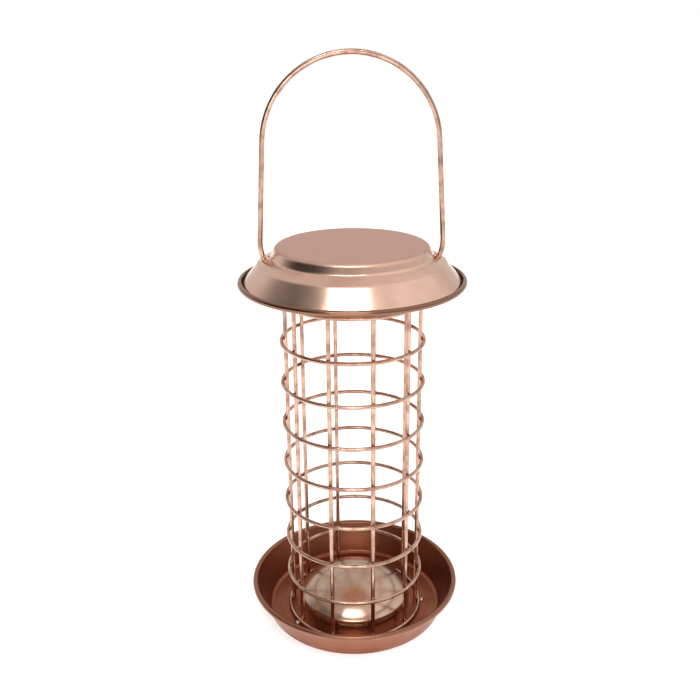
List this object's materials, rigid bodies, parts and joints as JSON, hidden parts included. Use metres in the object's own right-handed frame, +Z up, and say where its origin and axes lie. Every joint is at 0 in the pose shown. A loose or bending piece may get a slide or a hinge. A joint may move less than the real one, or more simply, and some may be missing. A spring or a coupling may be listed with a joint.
{
  "type": "hanging bird feeder",
  "caption": "Hanging fat-ball bird feeder: a round welded-wire cage between a dished tray and a lid that slides up a wire handle.",
  "frame": {"origin": "middle of the tray's underside, on the ground", "axes": "+Z up along the cage's axis; the handle lies in the XZ plane, and -Y is the front"},
  "size_m": [0.127, 0.127, 0.333],
  "materials": {
    "tray_metal": "copper-plated pressed steel, satin, darker and slightly tarnished",
    "dome_metal": "pale copper-nickel plate, polished",
    "fixings": "zinc-plated steel, plain",
    "solder": "silvery solder, smooth",
    "cage_wire": "copper-plated drawn steel wire, glossy",
    "handle_wire": "copper-plated drawn steel wire, glossy",
    "lid_metal": "copper-plated pressed steel, satin top and glossy sides"
  },
  "bodies": {
    "feeder": {"tray": "tray_metal", "dome": "dome_metal", "dome_stud": "fixings", "dome_washer": "fixings", "dome_nut": "fixings", "foot_tacks": "solder", "cage_ring_01": "cage_wire", "cage_ring_02": "cage_wire", "cage_ring_03": "cage_wire", "cage_ring_04": "cage_wire", "cage_ring_05": "cage_wire", "cage_ring_06": "cage_wire", "cage_ring_07": "cage_wire", "cage_ring_08": "cage_wire", "cage_ring_09": "cage_wire", "cage_ring_10": "cage_wire", "cage_upright_01": "cage_wire", "cage_upright_02": "cage_wire", "cage_upright_03": "cage_wire", "cage_upright_04": "cage_wire", "cage_upright_05": "cage_wire", "cage_upright_06": "cage_wire", "cage_upright_07": "cage_wire", "cage_upright_08": "cage_wire", "cage_upright_09": "cage_wire", "cage_upright_10": "cage_wire"},
    "handle": {"handle": "handle_wire"},
    "lid": {"lid": "lid_metal"}
  },
  "joints": [
    {"name": "handle_swing", "type": "hinge", "parent": "feeder", "child": "handle", "pos_m": [0, 0, 0.2017], "axis": [1, 0, 0], "range_deg": [-3, 3]},
    {"name": "lid_lift", "type": "slide", "parent": "handle", "child": "lid", "axis": [0, 0, 1], "range_m": [0, 0.065]}
  ]
}
